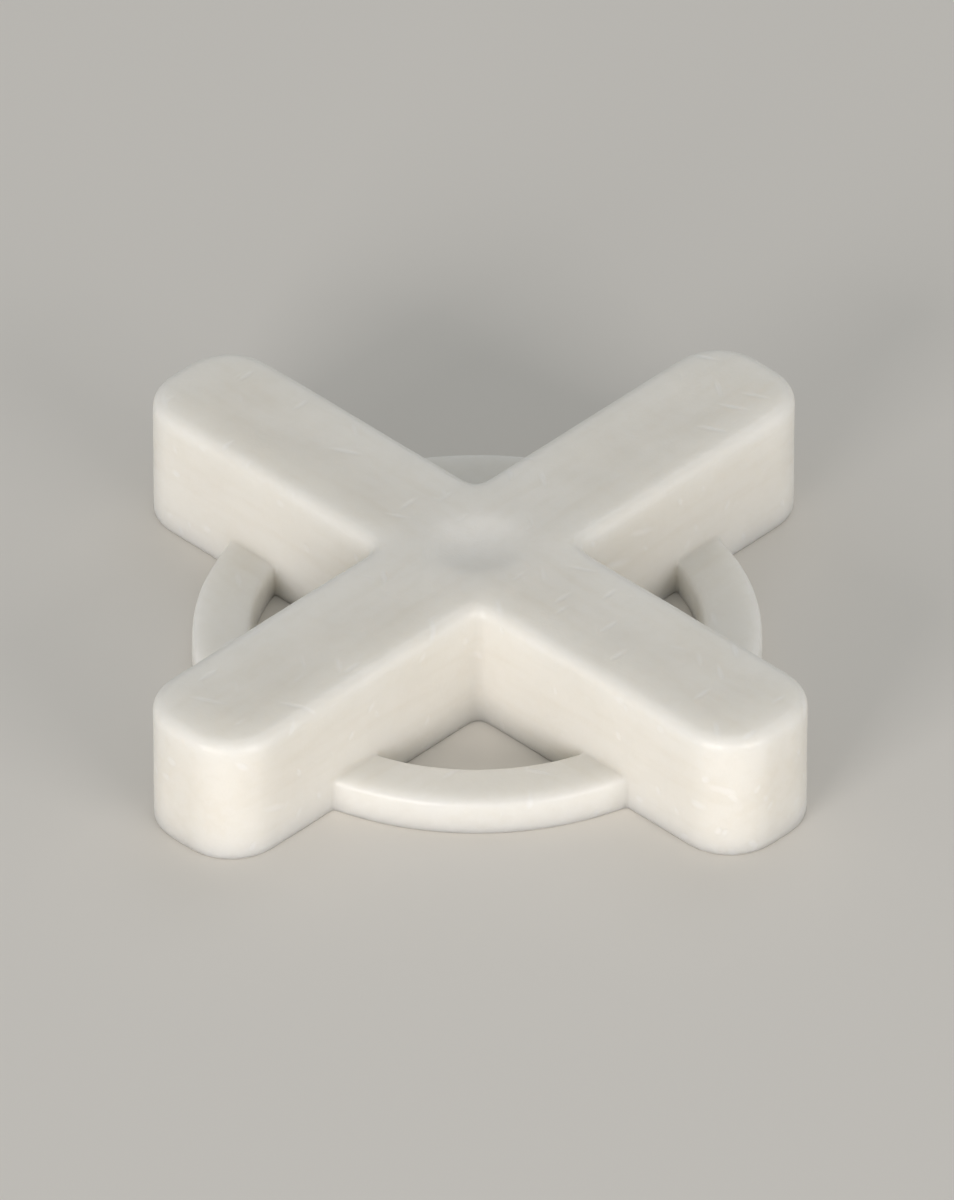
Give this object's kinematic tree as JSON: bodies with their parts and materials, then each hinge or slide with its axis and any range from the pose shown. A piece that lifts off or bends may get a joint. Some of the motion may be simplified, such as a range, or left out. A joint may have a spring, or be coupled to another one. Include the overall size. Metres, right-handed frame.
{
  "type": "tile spacer",
  "caption": "Plastic cross with a thin ring on one face, set between the corners of tiles to keep their joints equal.",
  "frame": {"origin": "middle of the ring face, on the axis of the cross, at the object's base", "axes": "+Z out of the plain face, away from the ring; the four arms point along +X, -X, +Y and -Y"},
  "size_m": [0.0234, 0.0234, 0.004],
  "materials": {
    "polyethylene": "satin off-white polyethylene, slightly translucent"
  },
  "bodies": {
    "root": {"tile_spacer": "polyethylene"}
  },
  "joints": []
}
